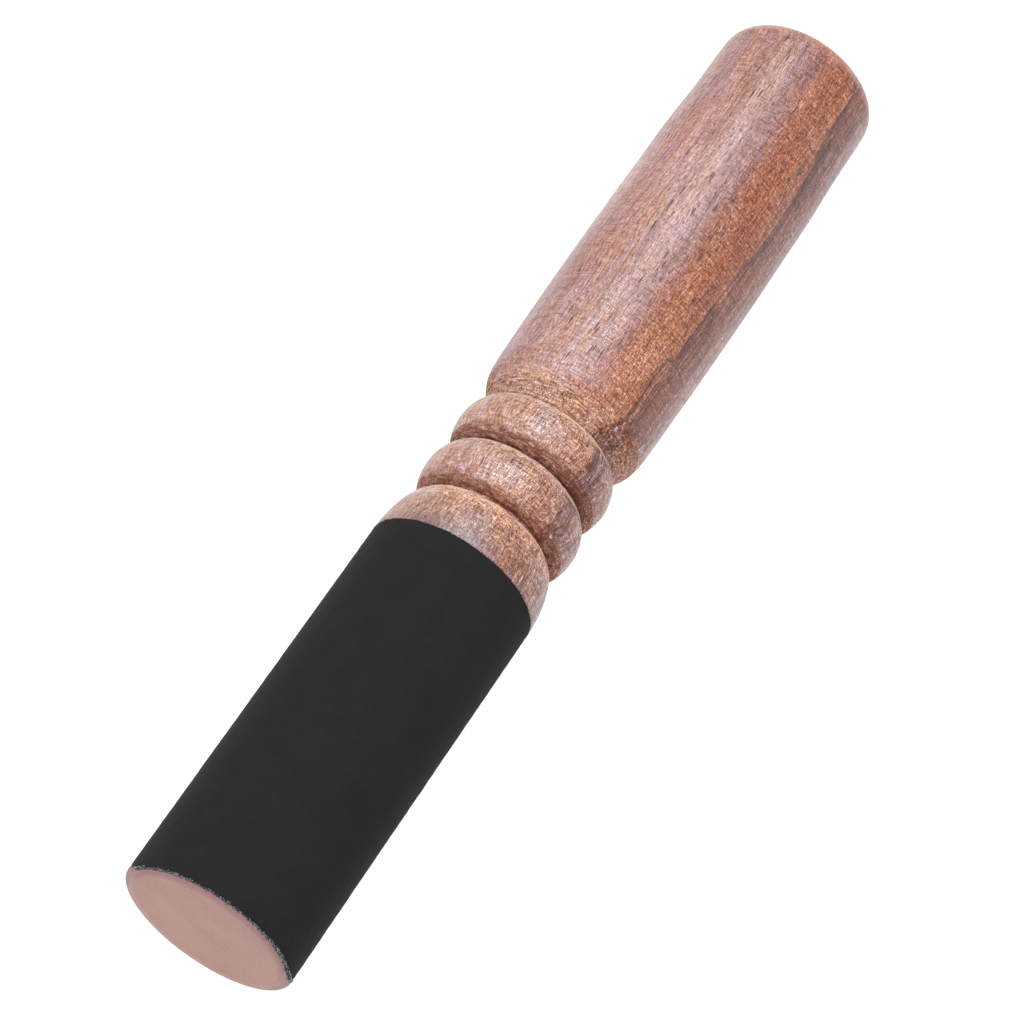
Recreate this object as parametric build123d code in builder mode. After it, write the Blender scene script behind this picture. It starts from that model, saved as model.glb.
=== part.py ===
"""Suede-wrapped wooden mallet, lying on its side.

+X runs from the head end to the handle end, +Z is up. The origin is on the surface that the
mallet lies on, under the middle of its length. Stations are distances along the mallet from the
flat head face, and every section is a profile of station against radius.
"""

import os

from build123d import *

os.makedirs("parts", exist_ok=True)

# Driving dimensions, mm
overall_length = 192.0
head_radius = 15.0  # outside of the suede
suede_thickness = 0.75
glue_thickness = 0.10

# Suede-wrapped head: the suede lies flush in a recess, between a thin rim and the shoulder
sleeve_start = 0.6  # also the width of the rim
sleeve_end = 71.2
face_edge_radius = 0.5
seam_gap = 0.3
seam_angle = -20.0  # in the cross-section, from +Y towards +Z

# Turned neck: shoulder, two ring beads and the grooves beside them
groove_radius = 11.4
shoulder_end = 81.6
shoulder_fullness = 0.5523  # Bezier handle, as a share of the rise, that gives a quarter ellipse
# Each bead: start and end station, crown radius, fullness of its rising and falling sides
ring_beads = (
    (82.2, 92.05, 14.26, 0.67, 0.50),
    (92.4, 102.35, 14.20, 0.57, 0.50),
)

# Grip
grip_foot = 103.4
grip_cone_top = (105.15, 12.85)
grip_round_handles = ((105.7, 13.9), (107.7, 14.68))
grip_start = (110.6, 14.74)
grip_belly = (146.0, 15.17)
grip_end_radius = 14.38
end_edge_radius = 3.2

core_radius = head_radius - suede_thickness - glue_thickness
axis_height = grip_belly[1]  # the mallet lies on the widest place of its grip
axis_origin = (-overall_length / 2, 0, axis_height)
turning_axis = Axis(axis_origin, (1, 0, 0))

# Local X is the station and local Y the radius.
profile_plane = Plane(origin=axis_origin, x_dir=(1, 0, 0), z_dir=(0, -1, 0))


def cross_section(station):
    """Plane square to the turning axis, with local X along +Y and local Y along +Z."""
    origin = (axis_origin[0] + station, 0, axis_height)
    return Plane(origin=origin, x_dir=(0, 1, 0), z_dir=(1, 0, 0))


def rising_quarter(foot, crown, fullness):
    """Quarter round that leaves the foot square to the axis and reaches the crown along it."""
    run = crown[0] - foot[0]
    rise = crown[1] - foot[1]
    handle_up = (foot[0], foot[1] + fullness * rise)
    handle_back = (crown[0] - fullness * run, crown[1])
    return Bezier(foot, handle_up, handle_back, crown)


def falling_quarter(crown, foot, fullness):
    """Quarter round that leaves the crown along the axis and drops square to it."""
    run = foot[0] - crown[0]
    drop = crown[1] - foot[1]
    handle_on = (crown[0] + fullness * run, crown[1])
    handle_up = (foot[0], foot[1] + fullness * drop)
    return Bezier(crown, handle_on, handle_up, foot)


# One-piece turned hardwood body
with BuildPart() as turned_body:
    with BuildSketch(profile_plane) as section:
        with BuildLine():
            Polyline(
                (0, 0),
                (0, head_radius),
                (sleeve_start, head_radius),
                (sleeve_start, core_radius),
                (sleeve_end, core_radius),
                (sleeve_end, head_radius),
            )
            falling_quarter((sleeve_end, head_radius), (shoulder_end, groove_radius), shoulder_fullness)
            floor_start = shoulder_end
            for start, stop, crown_radius, rising_fullness, falling_fullness in ring_beads:
                crown = ((start + stop) / 2, crown_radius)
                Line((floor_start, groove_radius), (start, groove_radius))
                rising_quarter((start, groove_radius), crown, rising_fullness)
                falling_quarter(crown, (stop, groove_radius), falling_fullness)
                floor_start = stop
            Polyline((floor_start, groove_radius), (grip_foot, groove_radius), grip_cone_top)
            Bezier(grip_cone_top, *grip_round_handles, grip_start)
            ThreePointArc(grip_start, grip_belly, (overall_length, grip_end_radius))
            Polyline((overall_length, grip_end_radius), (overall_length, 0), (0, 0))
        make_face()
        face_corner = section.vertices().group_by(Axis.X)[0].sort_by(Axis.Z)[-1]
        fillet(face_corner, face_edge_radius)
        end_corner = section.vertices().group_by(Axis.X)[-1].sort_by(Axis.Z)[-1]
        fillet(end_corner, end_edge_radius)
    revolve(axis=turning_axis)
turned_body.part.label = "turned_body"

# Contact cement between the core and the suede
with BuildPart() as adhesive_film:
    with BuildSketch(cross_section(sleeve_start)):
        Circle(core_radius + glue_thickness)
        Circle(core_radius, mode=Mode.SUBTRACT)
    extrude(amount=sleeve_end - sleeve_start)
adhesive_film.part.label = "adhesive_film"

# Suede strip wrapped once round the core, its long edges meeting in a butt seam
with BuildPart() as suede_sleeve:
    with BuildSketch(cross_section(sleeve_start)):
        Circle(head_radius)
        Circle(head_radius - suede_thickness, mode=Mode.SUBTRACT)
        with PolarLocations(head_radius, 1, start_angle=seam_angle):
            Rectangle(4 * suede_thickness, seam_gap, mode=Mode.SUBTRACT)
    extrude(amount=sleeve_end - sleeve_start)
suede_sleeve.part.label = "suede_sleeve"

for piece in (turned_body, adhesive_film, suede_sleeve):
    export_step(piece.part, f"parts/{piece.part.label}.step")
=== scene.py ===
import math
import random

import bpy
import numpy as np
from mathutils import Matrix, Quaternion, Vector, noise


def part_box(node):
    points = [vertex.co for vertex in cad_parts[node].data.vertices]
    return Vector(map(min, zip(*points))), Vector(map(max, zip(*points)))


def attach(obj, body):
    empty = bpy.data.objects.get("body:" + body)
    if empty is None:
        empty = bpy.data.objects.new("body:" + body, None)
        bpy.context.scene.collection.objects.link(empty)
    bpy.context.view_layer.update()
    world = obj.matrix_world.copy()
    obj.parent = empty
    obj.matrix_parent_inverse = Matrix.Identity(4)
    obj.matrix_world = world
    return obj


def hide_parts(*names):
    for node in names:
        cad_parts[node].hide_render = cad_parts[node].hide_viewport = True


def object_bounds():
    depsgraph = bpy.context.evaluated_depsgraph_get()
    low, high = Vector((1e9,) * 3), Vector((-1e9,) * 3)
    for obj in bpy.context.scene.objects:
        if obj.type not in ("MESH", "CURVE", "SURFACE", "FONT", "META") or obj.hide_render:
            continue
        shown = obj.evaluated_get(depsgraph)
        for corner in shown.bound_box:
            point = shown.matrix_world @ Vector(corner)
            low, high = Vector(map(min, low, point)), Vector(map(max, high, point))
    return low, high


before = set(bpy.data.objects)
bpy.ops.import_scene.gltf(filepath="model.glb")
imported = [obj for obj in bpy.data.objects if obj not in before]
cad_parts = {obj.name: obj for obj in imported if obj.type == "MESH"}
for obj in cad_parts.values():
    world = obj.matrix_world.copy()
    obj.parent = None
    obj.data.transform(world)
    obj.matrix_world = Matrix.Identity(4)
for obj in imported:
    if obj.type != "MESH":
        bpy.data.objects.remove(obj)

# The suede-wrapped mallet lies along +X, from its head to the end of its handle. Stations are
# distances along it from the head face. Stations and radii are in millimetres until a mesh is
# made, and everything in the scene is in metres.
MM = 0.001

cad_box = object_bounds()
body_low, body_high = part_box("turned_body")
sleeve_low, sleeve_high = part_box("suede_sleeve")
head_x = body_low.x
axis_z = (body_low.z + body_high.z) / 2
overall_length = (body_high.x - body_low.x) / MM
sleeve_start = (sleeve_low.x - head_x) / MM
sleeve_end = (sleeve_high.x - head_x) / MM
head_radius = (sleeve_high.z - sleeve_low.z) / MM / 2

# The turned profile, as the CAD model has it
suede_thickness = 0.75
glue_thickness = 0.10
core_radius = head_radius - suede_thickness - glue_thickness
groove_radius = 11.4
shoulder_end = 81.6
shoulder_fullness = 0.5523
# Each bead: start and end station, crown radius, fullness of its rising and falling sides
ring_beads = ((82.2, 92.05, 14.26, 0.67, 0.50), (92.4, 102.35, 14.20, 0.57, 0.50))
grip_foot = 103.4
grip_cone_top = (105.15, 12.85)
grip_round_handles = ((105.7, 13.9), (107.7, 14.68))
grip_start = (110.6, 14.74)
grip_belly = (146.0, 15.17)
grip_end_radius = 14.38
end_edge_radius = 3.2
face_edge_radius = 0.5
seam_gap = 0.3
seam_angle = math.radians(110)  # from +Z towards +Y

# The hand-trimmed suede laps a little over the head face on this side, from +Z towards +Y.
lap_side = math.radians(-19)
lap = 1.15

# Meshes: points round the wood, and points along, round and through the suede strip
wood_sides = 240
strip_rows = 150
strip_columns = 250
strip_edge_rows = 3

# Stations between which the neck's look gives way to the grip's
neck_look_end = 106.6
grip_look_start = 105.2

# The shoulder and the two beads repeat one look: where the first begins, and the next one after it
first_rounding = 71.5
rounding_pitch = 10.25

# Where the main dark growth layer lies along the stick: station, and depth from its plane
layer_drift = ((0, 1.0), (82, 1.4), (106, 1.6), (131, 0.2), (155, -1.0), (174, -0.6), (188, 1.4),
               (192, 2.6))

# How pale the wood is along the grip, its pale bluish part near the grip's start partly painted sheen:
# station, and share from dark to pale
pale_and_sheen_drift = ((105, 1.0), (118, 0.95), (131, 0.2), (148, 0.5), (166, 0.3), (192, 0.1))


# ---------------------------------------------------------------- outlines

def bezier(a, b, c, d, count=40):
    """Points along a cubic Bezier curve."""
    t = np.linspace(0, 1, count)[:, None]
    a, b, c, d = (np.array(p, float) for p in (a, b, c, d))
    return a * (1 - t) ** 3 + b * 3 * t * (1 - t) ** 2 + c * 3 * t**2 * (1 - t) + d * t**3


def rising_quarter(foot, crown, fullness):
    """Quarter round that leaves the foot square to the axis and reaches the crown along it."""
    up = (foot[0], foot[1] + fullness * (crown[1] - foot[1]))
    back = (crown[0] - fullness * (crown[0] - foot[0]), crown[1])
    return bezier(foot, up, back, crown)


def falling_quarter(crown, foot, fullness):
    """Quarter round that leaves the crown along the axis and drops square to it."""
    return rising_quarter((-foot[0], foot[1]), (-crown[0], crown[1]), fullness)[::-1] * (-1, 1)


def circle_through(a, b, c):
    """Centre and radius of the circle through three points."""
    rows = np.array([[b[0] - a[0], b[1] - a[1]], [c[0] - a[0], c[1] - a[1]]])
    sums = [(p[0] ** 2 + p[1] ** 2 - a[0] ** 2 - a[1] ** 2) / 2 for p in (b, c)]
    centre = np.linalg.solve(rows, sums)
    return centre, math.dist(centre, a)


def quarter_round(end_x, inward, corner_radius, radius, count):
    """The rounded outer edge of an end face, from the face to the side."""
    turn = np.linspace(0, math.pi / 2, count)
    x = end_x + inward * radius * (1 - np.cos(turn))
    return np.stack([x, corner_radius - radius + radius * np.sin(turn)], 1)


def turned_profile():
    """Station and radius along the whole outline of the wood, head face centre to end centre."""
    parts = [[(0, 0)], quarter_round(0, 1, head_radius, face_edge_radius, 8)]
    parts.append([(sleeve_start, head_radius), (sleeve_start, core_radius)])
    # The shoulder's corner beside the suede is a little worn.
    parts.append([(sleeve_end, core_radius), (sleeve_end, head_radius - 0.12)])
    parts.append([(sleeve_end + 0.2, head_radius - 0.03)])
    shoulder = falling_quarter(
        (sleeve_end, head_radius), (shoulder_end, groove_radius), shoulder_fullness
    )
    parts.append(shoulder[shoulder[:, 0] > sleeve_end + 0.5])
    for start, stop, crown_radius, rising, falling in ring_beads:
        crown = ((start + stop) / 2, crown_radius)
        parts.append(rising_quarter((start, groove_radius), crown, rising))
        parts.append(falling_quarter(crown, (stop, groove_radius), falling))
    parts.append([(grip_foot, groove_radius)])
    parts.append(bezier(grip_cone_top, *grip_round_handles, grip_start))
    end = (overall_length, grip_end_radius)
    (centre_x, centre_r), radius = circle_through(grip_start, grip_belly, end)
    x = np.linspace(grip_start[0], overall_length - end_edge_radius, 120)
    parts.append(np.stack([x, centre_r + np.sqrt(radius**2 - (x - centre_x) ** 2)], 1))
    parts.append(quarter_round(overall_length, -1, parts[-1][-1, 1], end_edge_radius, 30)[::-1])
    parts.append([(overall_length, 0)])
    outline = np.concatenate([np.array(p, float) for p in parts])
    step = np.hypot(*np.diff(outline, axis=0).T)
    return outline[np.concatenate([[True], step > 1e-6])]


def ring_spacing(station, radius):
    """Distance between the lathe mesh's rings: fine in the neck, and finest at the head's rim."""
    on_end_face = station < 0.1 or station > overall_length - 0.1
    if on_end_face and radius < core_radius - 0.5:
        return 1.2
    if station < sleeve_end - 1:
        return 0.1 if station < 1 else 3.0
    if station < 112:
        return 0.26
    return 0.8 if station < overall_length - end_edge_radius else 0.35


def resampled(outline):
    """The outline with a point wherever ring_spacing asks for one, its corners kept."""
    points = [outline[0]]
    for a, b in zip(outline[:-1], outline[1:]):
        reach = math.dist(a, b)
        gap = ring_spacing(*((a + b) / 2))
        if math.dist(points[-1], b) < 0.6 * gap and reach < 0.6 * gap:
            continue
        count = max(1, round(reach / gap))
        points += [a + (b - a) * k / count for k in range(1, count + 1)]
    if math.dist(points[-1], outline[-1]) > 1e-6:
        points.append(outline[-1])
    return np.array(points)


# ---------------------------------------------------------------- mesh helpers

def new_piece(name, vertices, faces, material, smooth_below=None):
    """A mesh piece from vertices in millimetres, with x as station and z from the turning axis."""
    placed = np.asarray(vertices, float) * MM + np.array([head_x, 0, axis_z])
    mesh = bpy.data.meshes.new(name)
    mesh.from_pydata(placed.tolist(), [], faces)
    mesh.validate()
    mesh.polygons.foreach_set("use_smooth", np.ones(len(mesh.polygons), bool))
    if smooth_below is not None:
        mesh.set_sharp_from_angle(angle=math.radians(smooth_below))
    mesh.materials.append(material)
    piece = bpy.data.objects.new(name, mesh)
    bpy.context.scene.collection.objects.link(piece)
    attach(piece, "root")
    return piece


def ring_faces(rings, sides, first=0):
    """Quads that join each closed ring of points to the next ring."""
    faces = []
    for ring in range(rings - 1):
        a = first + ring * sides
        b = a + sides
        for side in range(sides):
            ahead = (side + 1) % sides
            faces.append((a + side, b + side, b + ahead, a + ahead))
    return faces


def around(radius, angle):
    """Y and Z of a point at this radius and angle, the angle from +Z towards +Y."""
    return radius * np.sin(angle), radius * np.cos(angle)


def overhang(angle):
    """Share, 0 to 1, of the suede's lap over the head face: all of it on the upper -Y side."""
    share = np.clip(np.cos(angle - lap_side) / 0.35, 0, 1)
    return share**2 * (3 - 2 * share)


def wobble(points, size, seed):
    """Smooth noise from -1 to 1 at each point, its features about size millimetres across."""
    shift = Vector((seed * 13.7, seed * 7.9, seed * 3.1))
    return np.array([noise.noise(Vector(p) / size + shift) for p in points])


# ---------------------------------------------------------------- node helpers

def tone(red, green, blue):
    """A display colour, 0 to 255, as Blender's linear colour."""
    linear = []
    for value in (red, green, blue):
        share = value / 255
        linear.append(share / 12.92 if share <= 0.04045 else ((share + 0.055) / 1.055) ** 2.4)
    return (*linear, 1.0)


class Graph:
    """A material's node tree, with short calls for the nodes that the looks need."""

    def __init__(self, name):
        self.material = bpy.data.materials.new(name)
        self.material.use_nodes = True
        self.tree = self.material.node_tree
        self.tree.nodes.clear()
        output = self.add("ShaderNodeOutputMaterial")
        self.shader = self.add("ShaderNodeBsdfPrincipled")
        self.tree.links.new(self.shader.outputs[0], output.inputs["Surface"])

    def add(self, kind, **settings):
        node = self.tree.nodes.new(kind)
        for key, value in settings.items():
            setattr(node, key, value)
        return node

    def put(self, socket, value):
        """Links an output to the socket, or sets the socket's own value."""
        if isinstance(value, bpy.types.NodeSocket):
            self.tree.links.new(value, socket)
        else:
            socket.default_value = value

    def math(self, operation, a, b=0.0, clamp=False):
        node = self.add("ShaderNodeMath", operation=operation, use_clamp=clamp)
        self.put(node.inputs[0], a)
        self.put(node.inputs[1], b)
        return node.outputs[0]

    def times(self, a, b):
        return self.math("MULTIPLY", a, b)

    def length(self, a, b):
        """Length of the vector with these two components."""
        return self.math("SQRT", self.math("ADD", self.times(a, a), self.times(b, b)))

    def vector(self, operation, a, b):
        node = self.add("ShaderNodeVectorMath", operation=operation)
        self.put(node.inputs[0], a)
        self.put(node.inputs[1], b)
        return node.outputs[0]

    def split(self, vector):
        node = self.add("ShaderNodeSeparateXYZ")
        self.put(node.inputs[0], vector)
        return node.outputs

    def scaled(self, vector, scale, shift=(0, 0, 0)):
        node = self.add("ShaderNodeMapping")
        self.put(node.inputs["Vector"], vector)
        node.inputs["Scale"].default_value = scale
        node.inputs["Location"].default_value = shift
        return node.outputs[0]

    def object_place(self):
        """Object coordinates in millimetres: station, and Y and Z from the turning axis."""
        coordinates = self.add("ShaderNodeTexCoord").outputs["Object"]
        shift = (-head_x / MM, 0, -axis_z / MM)
        return self.scaled(coordinates, (1 / MM, 1 / MM, 1 / MM), shift)

    def noise(self, vector, detail=2.0, rough=0.5, colour=False):
        node = self.add("ShaderNodeTexNoise")
        self.put(node.inputs["Vector"], vector)
        node.inputs["Scale"].default_value = 1.0
        node.inputs["Detail"].default_value = detail
        node.inputs["Roughness"].default_value = rough
        return node.outputs[1 if colour else 0]

    def cells(self, vector):
        """Distance to the nearest of the points scattered one to each unit cell."""
        node = self.add("ShaderNodeTexVoronoi")
        self.put(node.inputs["Vector"], vector)
        node.inputs["Scale"].default_value = 1.0
        return node.outputs["Distance"]

    def fade(self, value, low, high, to_low=0.0, to_high=1.0, smooth=True):
        """Maps value from low..high to to_low..to_high, clamped."""
        kind = "SMOOTHSTEP" if smooth else "LINEAR"
        node = self.add("ShaderNodeMapRange", interpolation_type=kind, clamp=True)
        for key, number in zip(("Value", "From Min", "From Max", "To Min", "To Max"),
                               (value, low, high, to_low, to_high)):
            self.put(node.inputs[key], number)
        return node.outputs[0]

    def between(self, value, rise, fall):
        """Goes from 0 to 1 as value passes through rise, and back to 0 through fall."""
        return self.times(self.fade(value, rise[0], rise[1]), self.fade(value, fall[1], fall[0]))

    def curve(self, value, points):
        """A smooth function of value that passes through the points."""
        (first_x, _), (last_x, _) = points[0], points[-1]
        low, high = min(y for _, y in points), max(y for _, y in points)
        node = self.add("ShaderNodeFloatCurve")
        self.put(node.inputs["Value"], self.fade(value, first_x, last_x, smooth=False))
        line = node.mapping.curves[0]
        while len(line.points) < len(points):
            line.points.new(0.5, 0.5)
        for knot, (x, y) in zip(line.points, points):
            knot.location = ((x - first_x) / (last_x - first_x), (y - low) / (high - low))
        node.mapping.update()
        return self.fade(node.outputs[0], 0, 1, low, high, smooth=False)

    def mix(self, factor, a, b, blend="MIX"):
        node = self.add("ShaderNodeMix", data_type="RGBA", blend_type=blend)
        colours = [s for s in node.inputs if s.type == "RGBA"]
        self.put(node.inputs[0], factor)
        self.put(colours[0], a)
        self.put(colours[1], b)
        return [s for s in node.outputs if s.type == "RGBA"][0]

    def tinted(self, colour, share, tint):
        """The colour multiplied by the tint, by this share."""
        return self.mix(share, colour, (*tint, 1), "MULTIPLY")

    def bump(self, height, distance, strength):
        node = self.add("ShaderNodeBump")
        self.put(node.inputs["Height"], height)
        node.inputs["Distance"].default_value = distance
        node.inputs["Strength"].default_value = strength
        return node.outputs[0]

    def finish(self, colour, rough, normal=None, **fixed):
        """Links colour, roughness and normal, and sets the shader's unchanging sockets."""
        self.put(self.shader.inputs["Base Color"], colour)
        self.put(self.shader.inputs["Roughness"], rough)
        if normal is not None:
            self.put(self.shader.inputs["Normal"], normal)
        for key, value in fixed.items():
            self.shader.inputs[key.replace("_", " ")].default_value = value
        return self.material


# ---------------------------------------------------------------- materials

class Rosewood(Graph):
    """Reddish-brown turned wood. The methods that take a colour lay one kind of detail over it."""

    def __init__(self):
        super().__init__("rosewood")
        self.place = self.object_place()
        self.station, across, self.height = self.split(self.place)
        self.radius = self.length(across, self.height)
        self.fibre = self.wandering_fibres()
        self.depth = self.layer_depth()
        # Distance along the shoulder or a bead, from where it begins
        from_first = self.math("SUBTRACT", self.station, first_rounding)
        self.along_bead = self.math("MODULO", from_first, rounding_pitch)

        # Shares: in the neck, on the widest parts, and among the dark layers
        self.in_neck = self.fade(self.station, neck_look_end, grip_look_start)
        self.on_crown = self.fade(self.radius, 13.2, 13.8)
        self.inside = self.fade(self.depth, 14, 5)
        # The mottle and the scratches are weaker outside the dark layers.
        self.contrast = self.fade(self.depth, 9, 13, 0.9, 0.55)

        # Patterns that more than one kind of detail uses
        self.hair = self.noise(self.scaled(self.fibre, (0.045, 2.7, 2.7)), detail=4, rough=0.7)
        fleck_place = self.scaled(self.fibre, (0.8, 4.4, 4.4), (9, 0, 3))
        self.fleck = self.noise(fleck_place, detail=4, rough=0.8)
        self.scratches = self.noise(self.scaled(self.place, (4.0, 0.4, 0.4)), detail=4, rough=0.75)
        ridge_place = self.scaled(self.place, (3.2, 0.6, 0.6), (6, 3, 5))
        self.ridges = self.noise(ridge_place, detail=4, rough=0.72)

    def wandering_fibres(self):
        """The place, shifted so that the fibres wander a little about the stick's direction."""
        wander = self.noise(self.scaled(self.place, (0.02, 0.05, 0.05)), detail=2, colour=True)
        wander = self.vector("SUBTRACT", wander, (0.5, 0.5, 0.5))
        return self.vector("ADD", self.place, self.vector("MULTIPLY", wander, (0, 7, 7)))

    def layer_depth(self):
        """Depth in the growth layers, which stand square to the surface on the -Y side.

        Depth 0 is the main dark layer there.
        """
        layer_turn = math.radians(-57)
        layer = self.add("ShaderNodeVectorMath", operation="DOT_PRODUCT")
        self.put(layer.inputs[0], self.place)
        layer.inputs[1].default_value = (0, math.cos(layer_turn), -math.sin(layer_turn))
        depth = self.math("SUBTRACT", layer.outputs["Value"], self.curve(self.station, layer_drift))
        ripple_place = self.scaled(self.place, (0.05, 0.35, 0.35), (0, 4, 7))
        ripple = self.noise(ripple_place, detail=3, rough=0.55)
        return self.math("ADD", depth, self.fade(ripple, 0.25, 0.75, -1.3, 1.3, smooth=False))

    def shaded(self, colour, dark, light):
        """The colour made darker and redder, or lighter and paler, by these shares."""
        colour = self.tinted(colour, dark, (0.59, 0.43, 0.33))
        return self.tinted(colour, light, (1.28, 1.43, 1.60))

    def grained(self, colour, pattern, reach, share=1.0):
        """Shades the colour dark where the pattern is above one half, and light below."""
        dark = self.fade(pattern, 0.5, 0.5 + reach, 0, share)
        return self.shaded(colour, dark, self.fade(pattern, 0.5, 0.5 - reach, 0, share))

    def base_colour(self):
        """Orange-brown between the dark layers, pinker outside them, and tan in the neck, with painted
        sheen near the grip's start and a painted highlight on the shoulder's flank.
        """
        broad = self.noise(self.scaled(self.fibre, (0.015, 0.16, 0.16)), detail=3)
        broad = self.fade(broad, 0.34, 0.66)
        pink = self.mix(broad, tone(157, 106, 92), tone(177, 127, 108))
        orange = self.mix(broad, tone(153, 84, 57), tone(177, 112, 78))
        colour = self.mix(self.times(self.fade(self.depth, -8, -4), self.inside), pink, orange)
        colour = self.tinted(colour, self.fade(self.depth, 13, 17), (1.12, 1.09, 1.09))
        # Paler and bluer above the main layer near the grip's start, partly painted sheen, and darker
        # towards the handle end.
        paler = self.curve(self.station, pale_and_sheen_drift)
        paler = self.mix(paler, (0.88, 0.85, 0.85, 1), (1.03, 1.13, 1.22, 1))
        on_grip = self.fade(self.station, grip_look_start, grip_look_start + 1)
        above_layer = self.times(on_grip, self.fade(self.depth, -2.5, 2.5))
        colour = self.mix(above_layer, colour, paler, "MULTIPLY")
        colour = self.mix(self.times(self.in_neck, 0.5), colour, tone(204, 154, 133))
        colour = self.tinted(colour, self.in_neck, (1.01, 1.06, 1.03))
        colour = self.tinted(colour, self.fade(self.station, 79.0, 76.5), (0.82, 0.80, 0.75))
        # Painted highlight: the shoulder's falling flank made paler where light catches it.
        shoulder_flank_highlight = self.between(self.station, (76.8, 79.2), (81.8, 82.0))
        return self.tinted(colour, shoulder_flank_highlight, (1.25, 1.25, 1.11))

    def hue_patches(self, colour):
        """Patches a little more orange or more purple than the rest."""
        hue_place = self.scaled(self.fibre, (0.10, 0.45, 0.45), (7, 1, 2))
        hue = self.fade(self.noise(hue_place, detail=3, rough=0.6), 0.36, 0.64)
        tint = self.mix(hue, (1.03, 0.97, 0.86, 1), (0.96, 0.99, 1.10, 1))
        return self.mix(1.0, colour, tint, "MULTIPLY")

    def fine_grain(self, colour):
        """Fibre lines, mottling, flecks and grit."""
        colour = self.grained(colour, self.hair, 0.17, 0.7)
        mottle_place = self.scaled(self.place, (1.7, 2.4, 2.4), (4, 4, 1))
        mottle = self.noise(mottle_place, detail=4, rough=0.85)
        colour = self.grained(colour, mottle, 0.14, self.contrast)
        dark_fleck = self.fade(self.fleck, 0.51, 0.61)
        colour = self.shaded(colour, dark_fleck, self.fade(self.fleck, 0.49, 0.37))
        grit_place = self.scaled(self.place, (2.2, 3.4, 3.4), (2, 9, 6))
        grit = self.noise(grit_place, detail=4, rough=0.85)
        return self.grained(colour, grit, 0.09, self.inside)

    def dark_layers(self, colour):
        """The main dark layer with its edge lines, a second layer, and purple-brown streaks."""
        ribbons = self.noise(self.scaled(self.fibre, (0.02, 0.8, 0.8)), detail=4, rough=0.62)
        main = self.times(self.fade(self.depth, 0.9, -0.5), self.fade(self.depth, -7, -1.2, 0.55, 1))
        main = self.times(main, self.fade(self.depth, -11, -8))
        second = self.between(self.depth, (8.5, 9.6), (10.0, 11.2))
        second = self.times(second, self.fade(self.station, 140, 158, 0, 0.45))
        layers = self.math("MAXIMUM", main, second)
        layers = self.times(layers, self.fade(ribbons, 0.32, 0.56, 0.3, 1))
        # The layers and their lines are faint on the shoulder.
        first_bead_foot = (82, 84)
        layers = self.times(layers, self.fade(self.station, *first_bead_foot, 0.2, 1))
        colour = self.tinted(colour, layers, (0.52, 0.44, 0.48))
        colour = self.tinted(colour, self.fade(self.depth, 6, 1, 0, 0.4), (0.78, 0.70, 0.72))
        colour = self.grained(colour, self.hair, 0.10, main)
        lines = []
        for line_depth, half_width, strength in ((-0.2, 0.40, 1.0), (-3.2, 0.35, 0.8)):
            from_line = self.math("ABSOLUTE", self.math("SUBTRACT", self.depth, line_depth))
            lines.append(self.fade(from_line, half_width, 0.05, 0, strength))
        lines = self.math("MAXIMUM", *lines)
        lines = self.times(lines, self.fade(self.station, *first_bead_foot, 0.1, 0.8))
        colour = self.tinted(colour, lines, (0.50, 0.41, 0.44))
        return self.tinted(colour, self.fade(ribbons, 0.50, 0.66, 0, 0.55), (0.56, 0.48, 0.54))

    def open_pores(self):
        """Mask of the open pores, the long ones crowded in some places."""
        crowd = self.noise(self.scaled(self.place, (0.05, 0.22, 0.22), (2, 8, 5)), detail=2)
        long_pores = self.cells(self.scaled(self.fibre, (0.15, 1.2, 1.2)))
        long_pores = self.times(self.fade(long_pores, 0.20, 0.13), self.fade(crowd, 0.47, 0.56))
        short_pores = self.cells(self.scaled(self.fibre, (0.35, 2.6, 2.6), (3.3, 1.7, 8.1)))
        return self.math("MAXIMUM", long_pores, self.fade(short_pores, 0.20, 0.12, 0, 0.7))

    def lathe_marks(self, colour):
        """Fine broken scratches round the stick, with dark marks along the neck's ridges and torn fibres
        in the neck.
        """
        colour = self.grained(colour, self.scratches, 0.10, self.contrast)
        # Dark ridge marks in the neck, weaker on the crowns and on the falling sides
        falling = self.fade(self.along_bead, 5.0, 6.5)
        exposed = self.times(self.fade(self.on_crown, 0, 1, 1, 0.25), self.fade(falling, 0, 1, 1, 0.4))
        ridge_marks = self.times(self.fade(self.ridges, 0.50, 0.62), self.times(self.in_neck, exposed))
        colour = self.shaded(colour, ridge_marks, 0.0)
        torn_place = self.scaled(self.fibre, (0.30, 2.4, 2.4), (1, 5, 2))
        torn = self.fade(self.noise(torn_place, detail=3, rough=0.7), 0.53, 0.62, 0, 0.9)
        torn = self.times(torn, self.times(self.in_neck, self.on_crown))
        return self.shaded(colour, torn, 0.0)

    def groove_deposit_and_shade(self):
        """Mask of a dark deposit and painted shade on the grooves' floors and up the rising side of each
        bead.
        """
        # The deposit and painted shade reach 0.5 mm further up the second bead.
        on_second = self.fade(self.station, 90, 91)
        from_groove = self.math("SUBTRACT", self.along_bead, self.times(on_second, 0.5))
        walls = self.times(self.fade(from_groove, 2.4, 0.8), self.fade(on_second, 0, 1, 0.6, 0.8))
        walls = self.times(walls, self.between(self.station, (81.8, 82.0), (102.9, 103.2)))
        last_floor = self.between(self.station, (102.0, 102.3), (102.7, 103.1))
        floors = self.math("MAXIMUM", self.fade(self.station, 102.3, 102.0), last_floor)
        floors = self.times(self.fade(self.radius, 11.8, 11.5, 0, 0.75), floors)
        deposit_and_shade = self.math("MAXIMUM", walls, floors)
        return self.times(deposit_and_shade, self.fade(self.ridges, 0.42, 0.56, 0.4, 1))

    def painted_light_and_pale_end(self, colour):
        """Painted highlights near the foot of each bead's falling side, painted light on the grip's
        cone, and paler wood at the end edge.
        """
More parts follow.
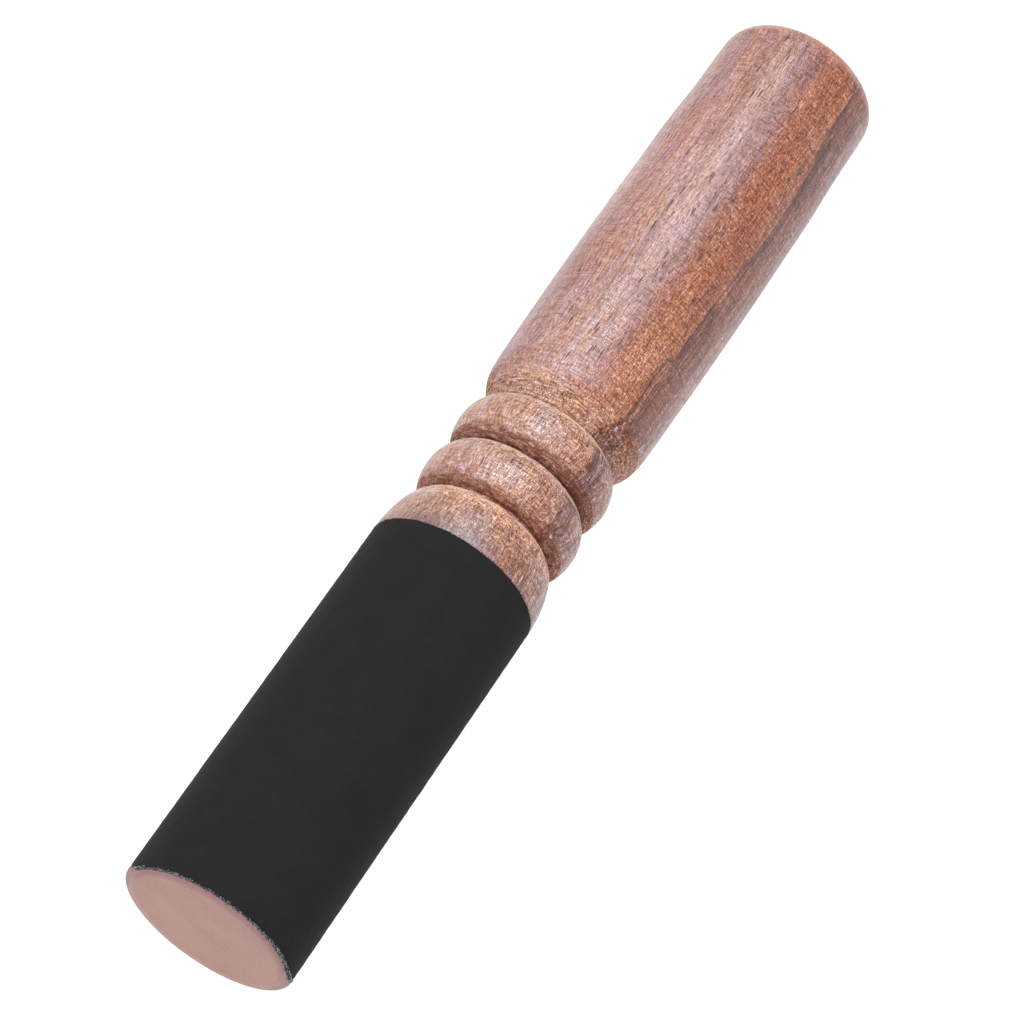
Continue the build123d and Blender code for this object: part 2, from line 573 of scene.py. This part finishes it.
        # Painted highlight where light catches each bead's falling flank
        limb_highlights = self.between(self.along_bead, (8.4, 9.4), (10.15, 10.25))
        limb_highlights = self.times(limb_highlights, self.fade(self.station, 103, 102.5))
        limb_highlights = self.times(limb_highlights, self.fade(self.ridges, 0.56, 0.44, 0.05, 0.6))
        colour = self.mix(limb_highlights, colour, tone(232, 188, 156))
        # Painted light: the grip's cone made lighter for the light it catches
        grip_cone = self.between(self.station, (103.3, 103.6), (106.6, 107.6))
        colour = self.tinted(colour, grip_cone, (1.16, 1.25, 1.24))
        end_edge = self.fade(self.station, overall_length - 3.6, overall_length - 2.4, 0, 0.2)
        return self.mix(end_edge, colour, tone(214, 158, 130))

    def suede_smears(self, colour):
        """Grey smears and dark dots beside the suede, most of them on the upper side."""
        upper = self.math("DIVIDE", self.height, self.radius)
        beside = self.fade(self.station, sleeve_end + 3.6, sleeve_end + 0.6)
        beside = self.times(beside, self.fade(upper, 0.75, 0.97, 0.3, 1))
        smears = self.noise(self.scaled(self.place, (0.8, 0.8, 0.8)), detail=4, rough=0.7)
        smears = self.times(beside, self.fade(smears, 0.34, 0.50, 0.15, 0.7))
        colour = self.mix(smears, colour, tone(120, 92, 90))
        dots = self.cells(self.scaled(self.place, (2.0, 2.4, 2.4)))
        dots = self.times(self.fade(dots, 0.42, 0.22), beside)
        return self.mix(self.times(dots, 0.85), colour, tone(74, 46, 46))

    def head_grain(self):
        """Bare sanded end grain at the head: pale, and more violet beside the suede's lap, partly dye
        stain and partly painted shade under the lap.
        """
        rings = self.noise(self.scaled(self.place, (0.02, 0.10, 0.10), (0, 3, 0)), detail=2)
        colour = self.mix(self.fade(rings, 0.35, 0.65), tone(173, 136, 128), tone(178, 141, 130))
        far_side = (0, *around(-lap * 2.4, lap_side))
        _, y, z = self.split(self.vector("SUBTRACT", self.place, far_side))
        # Dye stain and painted shade: violet-dark along the rim under the suede's lap
        lap_stain_and_shade = self.fade(self.length(y, z), 12.6, 14.6, 0, 0.65)
        return self.mix(lap_stain_and_shade, colour, tone(142, 106, 110))

    def tail_grain(self):
        """Browner end grain at the handle, with growth rings and pores."""
        growth = self.fade(self.math("SINE", self.times(self.depth, 2.6)), -0.3, 0.9)
        colour = self.mix(growth, tone(166, 112, 86), tone(122, 72, 52))
        dots = self.cells(self.scaled(self.place, (0.3, 3.0, 3.0)))
        return self.mix(self.fade(dots, 0.36, 0.20, 0, 0.8), colour, tone(70, 40, 34))

    def roughness(self, deposit_and_shade, pores):
        """Satin on the sanded grip, and rougher in the neck except on its crowns."""
        rough = self.fade(self.scratches, 0.35, 0.65, 0.24, 0.40)
        cone = self.between(self.station, (103.2, 103.6), (107.2, 107.5))
        flanks = self.times(self.fade(self.on_crown, 1, 0), self.fade(self.station, 103.6, 103.2))
        rough = self.math("ADD", rough, self.times(self.math("MAXIMUM", cone, flanks), 0.45))
        rough = self.math("ADD", rough, self.times(deposit_and_shade, 0.3))
        return self.math("ADD", rough, self.times(pores, 0.2), clamp=True)

    def relief(self, pores):
        """Raised scratches, flecks and fibre lines, and sunken pores."""
        height = self.math("ADD", self.times(self.scratches, 1.2), self.times(self.fleck, 0.5))
        height = self.math("ADD", height, self.times(self.hair, 0.5))
        height = self.math("SUBTRACT", height, self.times(pores, 1.5))
        return self.bump(height, 0.00006, 1.0)


def rosewood():
    """The wood's material, each kind of detail laid over the one before."""
    wood = Rosewood()
    pores = wood.open_pores()
    deposit_and_shade = wood.groove_deposit_and_shade()
    colour = wood.fine_grain(wood.hue_patches(wood.base_colour()))
    colour = wood.dark_layers(colour)
    colour = wood.mix(wood.times(pores, 0.9), colour, tone(76, 42, 40))
    colour = wood.lathe_marks(colour)
    # Dark deposit and painted shade in the grooves and up each bead's rising side
    colour = wood.mix(deposit_and_shade, colour, tone(104, 52, 34))
    # Painted highlights on the bead flanks and painted light on the grip's cone, then smears beside the
    # suede
    colour = wood.suede_smears(wood.painted_light_and_pale_end(colour))
    on_head = wood.fade(wood.station, sleeve_start + 0.1, sleeve_start)
    colour = wood.mix(on_head, colour, wood.head_grain())
    on_tail = wood.fade(wood.station, overall_length - 0.35, overall_length - 0.05, 0, 0.8)
    colour = wood.mix(on_tail, colour, wood.tail_grain())
    rough = wood.roughness(deposit_and_shade, pores)
    rough = wood.math("ADD", rough, wood.times(on_head, 0.3), clamp=True)
    return wood.finish(colour, rough, wood.relief(pores), IOR=1.52)


def black_suede():
    """Near-black brushed suede with a faint mottle and a greyer raw edge."""
    suede = Graph("black_suede")
    place = suede.object_place()
    station = suede.split(place)[0]
    mottle = suede.noise(suede.scaled(place, (0.22, 0.22, 0.22)), detail=4, rough=0.6)
    nap = suede.noise(suede.scaled(place, (4, 5, 5)), detail=3, rough=0.7)
    colour = suede.mix(suede.fade(mottle, 0.3, 0.7), tone(32, 29, 27), tone(34, 31, 29))
    colour = suede.mix(suede.fade(nap, 0.40, 0.7, 0, 0.35), colour, tone(44, 42, 39))
    facing = suede.split(suede.add("ShaderNodeNewGeometry").outputs["True Normal"])[0]
    raw_edge = suede.times(suede.fade(facing, -0.4, -0.8), suede.fade(station, 5, 3))
    fleece = suede.mix(suede.fade(nap, 0.35, 0.65), tone(66, 54, 56), tone(122, 108, 112))
    colour = suede.mix(raw_edge, colour, fleece)
    normal = suede.bump(nap, 0.00010, 0.5)
    return suede.finish(colour, 0.95, normal, Sheen_Weight=0.03, Sheen_Roughness=0.4,
                        Specular_IOR_Level=0.06)


def suede_fibre(name, dark, light):
    """Loose suede fibres, each a little lighter or darker than the next."""
    fibre = Graph(name)
    chance = fibre.noise(fibre.scaled(fibre.object_place(), (2.2, 2.2, 2.2)), detail=2, rough=0.8)
    colour = fibre.mix(fibre.fade(chance, 0.35, 0.65), dark, light)
    return fibre.finish(colour, 0.9, Specular_IOR_Level=0.1)


def dried_adhesive():
    """Amber cement, darkened by the suede's dye."""
    cement = Graph("dried_adhesive")
    patches = cement.noise(cement.scaled(cement.object_place(), (0.6, 1.2, 1.2)), detail=3)
    colour = cement.mix(cement.fade(patches, 0.3, 0.7), tone(96, 70, 48), tone(52, 40, 34))
    return cement.finish(colour, 0.45, cement.bump(patches, 0.0002, 0.5))


def studio_floor():
    """White light table, bright enough to leave hardly any shadow."""
    floor = Graph("studio_floor")
    grain = floor.noise(floor.scaled(floor.object_place(), (0.05, 0.05, 0.05)), detail=2)
    colour = floor.mix(grain, (0.20, 0.20, 0.20, 1), (0.22, 0.22, 0.22, 1))
    return floor.finish(colour, 0.8, Emission_Color=(1, 1, 1, 1), Emission_Strength=0.93)


# ---------------------------------------------------------------- the wood

def unevenness(station, angles, radius):
    """How far the hand-turned surface strays from the true profile: nowhere under the suede."""
    y, z = around(radius, angles)
    uneven = wobble(np.stack([station * 0.35, y, z], 1), 9, 1) * 0.035
    ridges = wobble(np.stack([station, y * 0.12, z * 0.12], 1), 0.8, 2)
    in_neck = np.clip((grip_start[0] - station) / 4, 0, 1)
    uneven += ridges * (0.005 + 0.02 * in_neck)
    # Long shallow waves along the rear of the grip
    wave_start, wave_length = 150, 22
    wave = np.sin((station - wave_start) * 2 * math.pi / wave_length) * (radius > 10)
    uneven -= 0.08 * wave * np.clip((station - wave_start) / 20, 0, 1)
    bare = np.clip((station - sleeve_end) / 3, 0, 1)
    return uneven * bare * np.clip(radius / 10, 0, 1)


def turned_wood(material):
    """The one-piece turned body as a fine lathe mesh."""
    profile = resampled(turned_profile())[1:-1]
    station = np.repeat(profile[:, 0], wood_sides)
    radius = np.repeat(profile[:, 1], wood_sides)
    angles = np.tile(np.linspace(0, 2 * math.pi, wood_sides, endpoint=False), len(profile))
    radius = radius + unevenness(station, angles, radius)
    # The thin rim in front of the suede is pressed in where the suede laps over it.
    at_rim = (station < sleeve_start + 0.01) & (radius > core_radius + 0.1)
    radius = radius - at_rim * 0.35 * overhang(angles)
    rings = np.stack([station, *around(radius, angles)], 1)
    vertices = np.concatenate([rings, [[0, 0, 0], [overall_length, 0, 0]]])
    head_centre = len(rings)
    end_centre = head_centre + 1
    last_ring = head_centre - wood_sides
    faces = ring_faces(len(profile), wood_sides)
    for side in range(wood_sides):
        ahead = (side + 1) % wood_sides
        faces.append((head_centre, side, ahead))
        faces.append((end_centre, last_ring + ahead, last_ring + side))
    piece = new_piece("turned_wood", vertices, faces, material, smooth_below=50)
    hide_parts("turned_body")
    return piece


# ---------------------------------------------------------------- the suede

def strip_loop():
    """One loop round the strip's thickness: outer side, handle-end edge, inner side, head edge.

    Gives each point's share of the way along, its depth from 0 outside to 1 inside, and how
    far the raw edge bulges there.
    """
    share = np.linspace(0, 1, strip_rows + 1)
    across = np.linspace(0, 1, strip_edge_rows + 2)[1:-1]
    swell = np.sin(across * math.pi)
    flat = np.zeros(strip_rows + 1)
    along = np.concatenate([share, np.ones(strip_edge_rows), share[::-1], np.zeros(strip_edge_rows)])
    depth = np.concatenate([flat, across, flat + 1, across[::-1]])
    bulge = np.concatenate([flat, swell, flat, -swell])
    return along, depth, bulge


def strip_vertices(turns, along, depth, bulge):
    """The strip's points: turns run from one long edge round to the other, in radians."""
    angles = turns + seam_angle
    y, z = around(head_radius, angles)

    # Both ends are cut unevenly, and the head end laps over the face on one side.
    cut = np.stack([np.zeros_like(y), y, z], 1)
    end_cut = 0.10 + wobble(cut, 1.6, 3) * 0.18 + wobble(cut, 0.5, 4) * 0.16
    start_cut = wobble(cut, 1.5, 5) * 0.06 + wobble(cut, 0.4, 6) * 0.06
    head_cut = sleeve_start - lap * overhang(angles) + start_cut
    crowding = 1.6  # brings the rows closer together towards the head
    station = head_cut + (sleeve_end - head_cut) * along**crowding + end_cut * along + bulge * 0.07

    # The outer side is napped, lumpy near the neck, and pressed down at its edges.
    outside = np.stack([station, y, z], 1)
    nap = wobble(outside, 2.4, 7) * 0.035 + wobble(outside, 0.7, 8) * 0.035
    lumps = np.clip(wobble(outside, 1.1, 9), 0, None) * np.exp(-(sleeve_end - station) / 5)
    lumpy_side = 1.2
    nap += lumps * 0.22 * np.clip(np.cos(angles - lumpy_side), 0, 1)
    edge_drop = 0.20 * np.exp(-np.clip(station - head_cut, 0, None) / 0.3)
    edge_drop += 0.05 * np.exp(-np.clip(sleeve_end - station, 0, None) / 0.2)
    from_seam = np.minimum(turns, 2 * math.pi - turns) * head_radius - seam_gap / 2
    seam_drop = 0.16 * np.exp(-from_seam / 0.35)

    outer = head_radius - 0.02 + nap - edge_drop - seam_drop
    inner = core_radius + glue_thickness + 0.005
    return np.stack([station, *around(outer + (inner - outer) * depth, angles)], 1)


def seam_caps(first, loop):
    """Faces that close the strip at a long edge, on the loop that starts at point first."""
    inner_start = strip_rows + 1 + strip_edge_rows
    inner_end = inner_start + strip_rows
    caps = []
    for row in range(strip_rows):
        across = inner_end - row
        caps.append((row + 1, row, across, across - 1))
    caps.append(tuple(reversed(range(strip_rows, inner_start + 1))))
    caps.append((0, *reversed(range(inner_end, loop))))
    return [tuple(first + point for point in cap) for cap in caps]


def suede_wrap(material):
    """The suede strip, wrapped round the core with its long edges meeting at the seam."""
    along, depth, bulge = strip_loop()
    loop = len(along)
    half_gap = seam_gap / 2 / head_radius
    turn = np.linspace(half_gap, 2 * math.pi - half_gap, strip_columns + 1)
    spread = (np.tile(values, strip_columns + 1) for values in (along, depth, bulge))
    vertices = strip_vertices(np.repeat(turn, loop), *spread)
    # Turned over, because the loops run the other way round than the wood's rings
    faces = [(a, d, c, b) for a, b, c, d in ring_faces(strip_columns + 1, loop)]
    faces += seam_caps(0, loop)
    faces += [tuple(reversed(cap)) for cap in seam_caps(strip_columns * loop, loop)]
    piece = new_piece("suede_wrap", vertices, faces, material, smooth_below=60)
    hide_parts("suede_sleeve")
    return piece


def fibres(name, roots, leans, droops, lengths, widths, material):
    """Tapered closed fibres, growing from roots along leans and then bending along droops."""
    vertices, faces = [], []
    for root, lean, droop, length, width in zip(roots, leans, droops, lengths, widths):
        lean = lean.normalized()
        side = lean.orthogonal().normalized()
        other = lean.cross(side)
        curl = (side * random.uniform(-1, 1) + other * random.uniform(-1, 1)) * 0.35
        base = len(vertices)
        middle = root + lean * length * 0.5
        tip = middle + (lean + droop + curl).normalized() * length * 0.5
        for centre, half in ((root, width / 2), (middle, width * 0.36)):
            for k in range(3):
                turn = k * 2 * math.pi / 3
                vertices.append(centre + (side * math.cos(turn) + other * math.sin(turn)) * half)
        vertices.append(tip)
        faces.append((base + 2, base + 1, base))
        for k in range(3):
            ahead = (k + 1) % 3
            faces.append((base + k, base + ahead, base + 3 + ahead, base + 3 + k))
            faces.append((base + 3 + k, base + 3 + ahead, base + 6))
    piece = new_piece(name, [tuple(v) for v in vertices], faces, material)
    return piece


def on_sleeve(station, angle, radius):
    return Vector((station, *around(radius, angle)))


def directions(angle):
    """Unit vectors out of the suede and round it, at this angle."""
    return Vector((0, *around(1, angle))), Vector((0, *around(1, angle + math.pi / 2)))


def seamless_angle():
    """A random angle on the suede, clear of the seam."""
    margin = 0.03
    return seam_angle + random.uniform(margin, 2 * math.pi - margin)


def neck_fray(name, count, lengths, widths, material):
    """Fibres on the raw edge beside the neck, pointing off the edge and a little outwards."""
    roots, leans, sizes, thick = [], [], [], []
    for _ in range(count):
        angle = seamless_angle()
        out, ring = directions(angle)
        depth = random.uniform(-0.2, -0.02)
        roots.append(on_sleeve(sleeve_end - 0.06, angle, head_radius + depth))
        lean = Vector((random.uniform(0.3, 1.1), 0, 0))
        leans.append(lean + out * random.uniform(-0.25, 0.7) + ring * random.uniform(-1.1, 1.1))
        sizes.append(random.uniform(*lengths))
        thick.append(random.uniform(*widths))
    return fibres(name, roots, leans, [Vector()] * count, sizes, thick, material)


def rim_fray(name, count, spread, lengths, widths, material):
    """Hairs on the raw head edge, in tufts. The underside's are worn short."""
    roots, leans, droops, sizes, thick = [], [], [], [], []
    while len(roots) < count:
        angle = seamless_angle()
        lapped = float(overhang(angle))
        tuft = 0.5 + noise.noise(Vector((math.sin(angle), math.cos(angle), 0)) * 9)
        sideways = math.sin(angle - lap_side)
        lower = 0.5 - 0.5 * sideways
        if random.random() > tuft * (0.3 + 0.7 * sideways**2) * (0.5 + 0.5 * lower):
            continue
        out, ring = directions(angle)
        edge = sleeve_start - lap * lapped + random.uniform(-0.05, 0.25)
        roots.append(on_sleeve(edge, angle, head_radius - random.uniform(0.05, spread)))
        lean = Vector((-1, 0, 0)) * random.uniform(0.0, 1.0)
        leans.append(lean + out * random.uniform(0.1, 0.6) + ring * random.uniform(-1.2, 1.2))
        droops.append(Vector((-0.4, 0, 0)) + out * random.uniform(-1.2, 0.2))
        sizes.append(random.uniform(*lengths) * (0.3 + 0.7 * lapped) * (0.5 + 0.7 * lower**2))
        thick.append(random.uniform(*widths))
    return fibres(name, roots, leans, droops, sizes, thick, material)


def nap_fibres(name, count, lengths, widths, material):
    """Short brushed fibres over the whole suede."""
    roots, leans, sizes, thick = [], [], [], []
    for _ in range(count):
        angle = seamless_angle()
        station = random.uniform(sleeve_start + 0.3, sleeve_end - 0.2)
        out, ring = directions(angle)
        roots.append(on_sleeve(station, angle, head_radius - 0.08))
        lean = Vector((random.uniform(-1, 1), 0, 0)) + ring * random.uniform(-1, 1)
        leans.append(lean + out * random.uniform(0.2, 0.8))
        sizes.append(random.uniform(*lengths))
        thick.append(random.uniform(*widths))
    return fibres(name, roots, leans, [Vector()] * count, sizes, thick, material)


# ---------------------------------------------------------------- studio

def softbox(name, direction, distance, length, width, power, colour):
    """A rectangular softbox aimed at the mallet, its length lined up with the mallet."""
    light = bpy.data.lights.new(name, "AREA")
    light.shape = "RECTANGLE"
    light.size = length
    light.size_y = width
    light.energy = power
    light.color = colour
    lamp = bpy.data.objects.new(name, light)
    back = Vector(direction).normalized()
    along = (Vector((1, 0, 0)) - back * back.x).normalized()
    turned = Matrix((along, back.cross(along), back)).transposed().to_4x4()
    lamp.matrix_world = Matrix.Translation(back * distance) @ turned
    lamp.visible_camera = False
    bpy.context.scene.collection.objects.link(lamp)


def make_floor(material):
    """A round white table with a raised, rounded rim far outside the view."""
    reach, rim, sides = 6.0, 0.5, 96
    rings = [(reach * k / 12, 0.0) for k in range(1, 13)]
    rings += [(reach + rim * math.sin(a), rim * (1 - math.cos(a))) for a in (0.3, 0.6, 0.9, 1.2, 1.5)]
    vertices = [(0, 0, 0)]
    for radius, height in rings:
        for k in range(sides):
            turn = 2 * math.pi * k / sides
            vertices.append((radius * math.cos(turn), radius * math.sin(turn), height))
    faces = [(0, 1 + k, 1 + (k + 1) % sides) for k in range(sides)]
    faces += ring_faces(len(rings), sides, first=1)
    mesh = bpy.data.meshes.new("table")
    mesh.from_pydata(vertices, [], faces)
    mesh.polygons.foreach_set("use_smooth", np.ones(len(mesh.polygons), bool))
    mesh.materials.append(material)
    table = bpy.data.objects.new("table", mesh)
    table.location.z = cad_box[0].z
    bpy.context.scene.collection.objects.link(table)


def make_world():
    """Soft light from all round, strongest from above the head end."""
    world = bpy.data.worlds.new("studio")
    bpy.context.scene.world = world
    world.use_nodes = True
    nodes, links = world.node_tree.nodes, world.node_tree.links
    nodes.clear()
    output = nodes.new("ShaderNodeOutputWorld")
    back = nodes.new("ShaderNodeBackground")
    where = nodes.new("ShaderNodeTexCoord")
    toward = nodes.new("ShaderNodeVectorMath")
    toward.operation = "DOT_PRODUCT"
    toward.inputs[1].default_value = (-0.80, 0.05, 0.60)
    links.new(where.outputs["Generated"], toward.inputs[0])
    rise = nodes.new("ShaderNodeMapRange")
    links.new(toward.outputs["Value"], rise.inputs["Value"])
    rise.inputs["From Min"].default_value = 0.0
    rise.inputs["From Max"].default_value = 1.0
    rise.inputs["To Min"].default_value = 0.28
    rise.inputs["To Max"].default_value = 1.0
    links.new(rise.outputs[0], back.inputs["Strength"])
    back.inputs["Color"].default_value = (1.0, 0.98, 0.97, 1)
    links.new(back.outputs[0], output.inputs["Surface"])


def make_camera():
    """Looks down at the mallet from beyond its head end, off to its -Y side."""
    azimuth, elevation = math.radians(-59.95), math.radians(56.47)
    distance = 0.6032
    aim = Vector((-0.00790, -0.00176, axis_z))
    roll = math.radians(0.152)
    back = Vector((
        math.sin(azimuth) * math.cos(elevation),
        -math.cos(azimuth) * math.cos(elevation),
        math.sin(elevation),
    ))
    data = bpy.data.cameras.new("camera")
    data.sensor_width = 36
    data.lens = 131.08
    camera = bpy.data.objects.new("camera", data)
    camera.location = aim + back * distance
    camera.rotation_mode = "QUATERNION"
    camera.rotation_quaternion = (-back).to_track_quat("-Z", "Y") @ Quaternion((0, 0, 1), roll)
    bpy.context.scene.collection.objects.link(camera)
    bpy.context.scene.camera = camera


# ---------------------------------------------------------------- build

random.seed(7)
make_camera()
bpy.context.scene.view_settings.view_transform = "Standard"

wood = turned_wood(rosewood())
wrap = suede_wrap(black_suede())
fray_material = suede_fibre("frayed_edge", tone(74, 70, 70), tone(204, 200, 199))
nap_material = suede_fibre("suede_nap", tone(35, 33, 32), tone(56, 53, 50))
pale_fray = rim_fray("pale_rim_fray", 1700, 0.35, (0.3, 1.0), (0.05, 0.11), fray_material)
dark_fray = rim_fray("dark_rim_fray", 1700, 0.6, (0.3, 1.0), (0.05, 0.10), nap_material)
edge_fray = neck_fray("neck_edge_fray", 2200, (0.15, 0.45), (0.03, 0.07), nap_material)
nap = nap_fibres("suede_nap", 7000, (0.14, 0.30), (0.02, 0.045), nap_material)

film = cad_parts["adhesive_film"]
film.data.materials.clear()
film.data.materials.append(dried_adhesive())

make_world()
make_floor(studio_floor())
softbox("key", (0.18, 0.05, 0.97), 1.3, 1.3, 1.15, 21.5, (0.71, 0.86, 1.0))
softbox("glow", (0.37, -0.13, 0.92), 1.3, 0.4, 1.0, 9, (0.58, 0.84, 1.0))
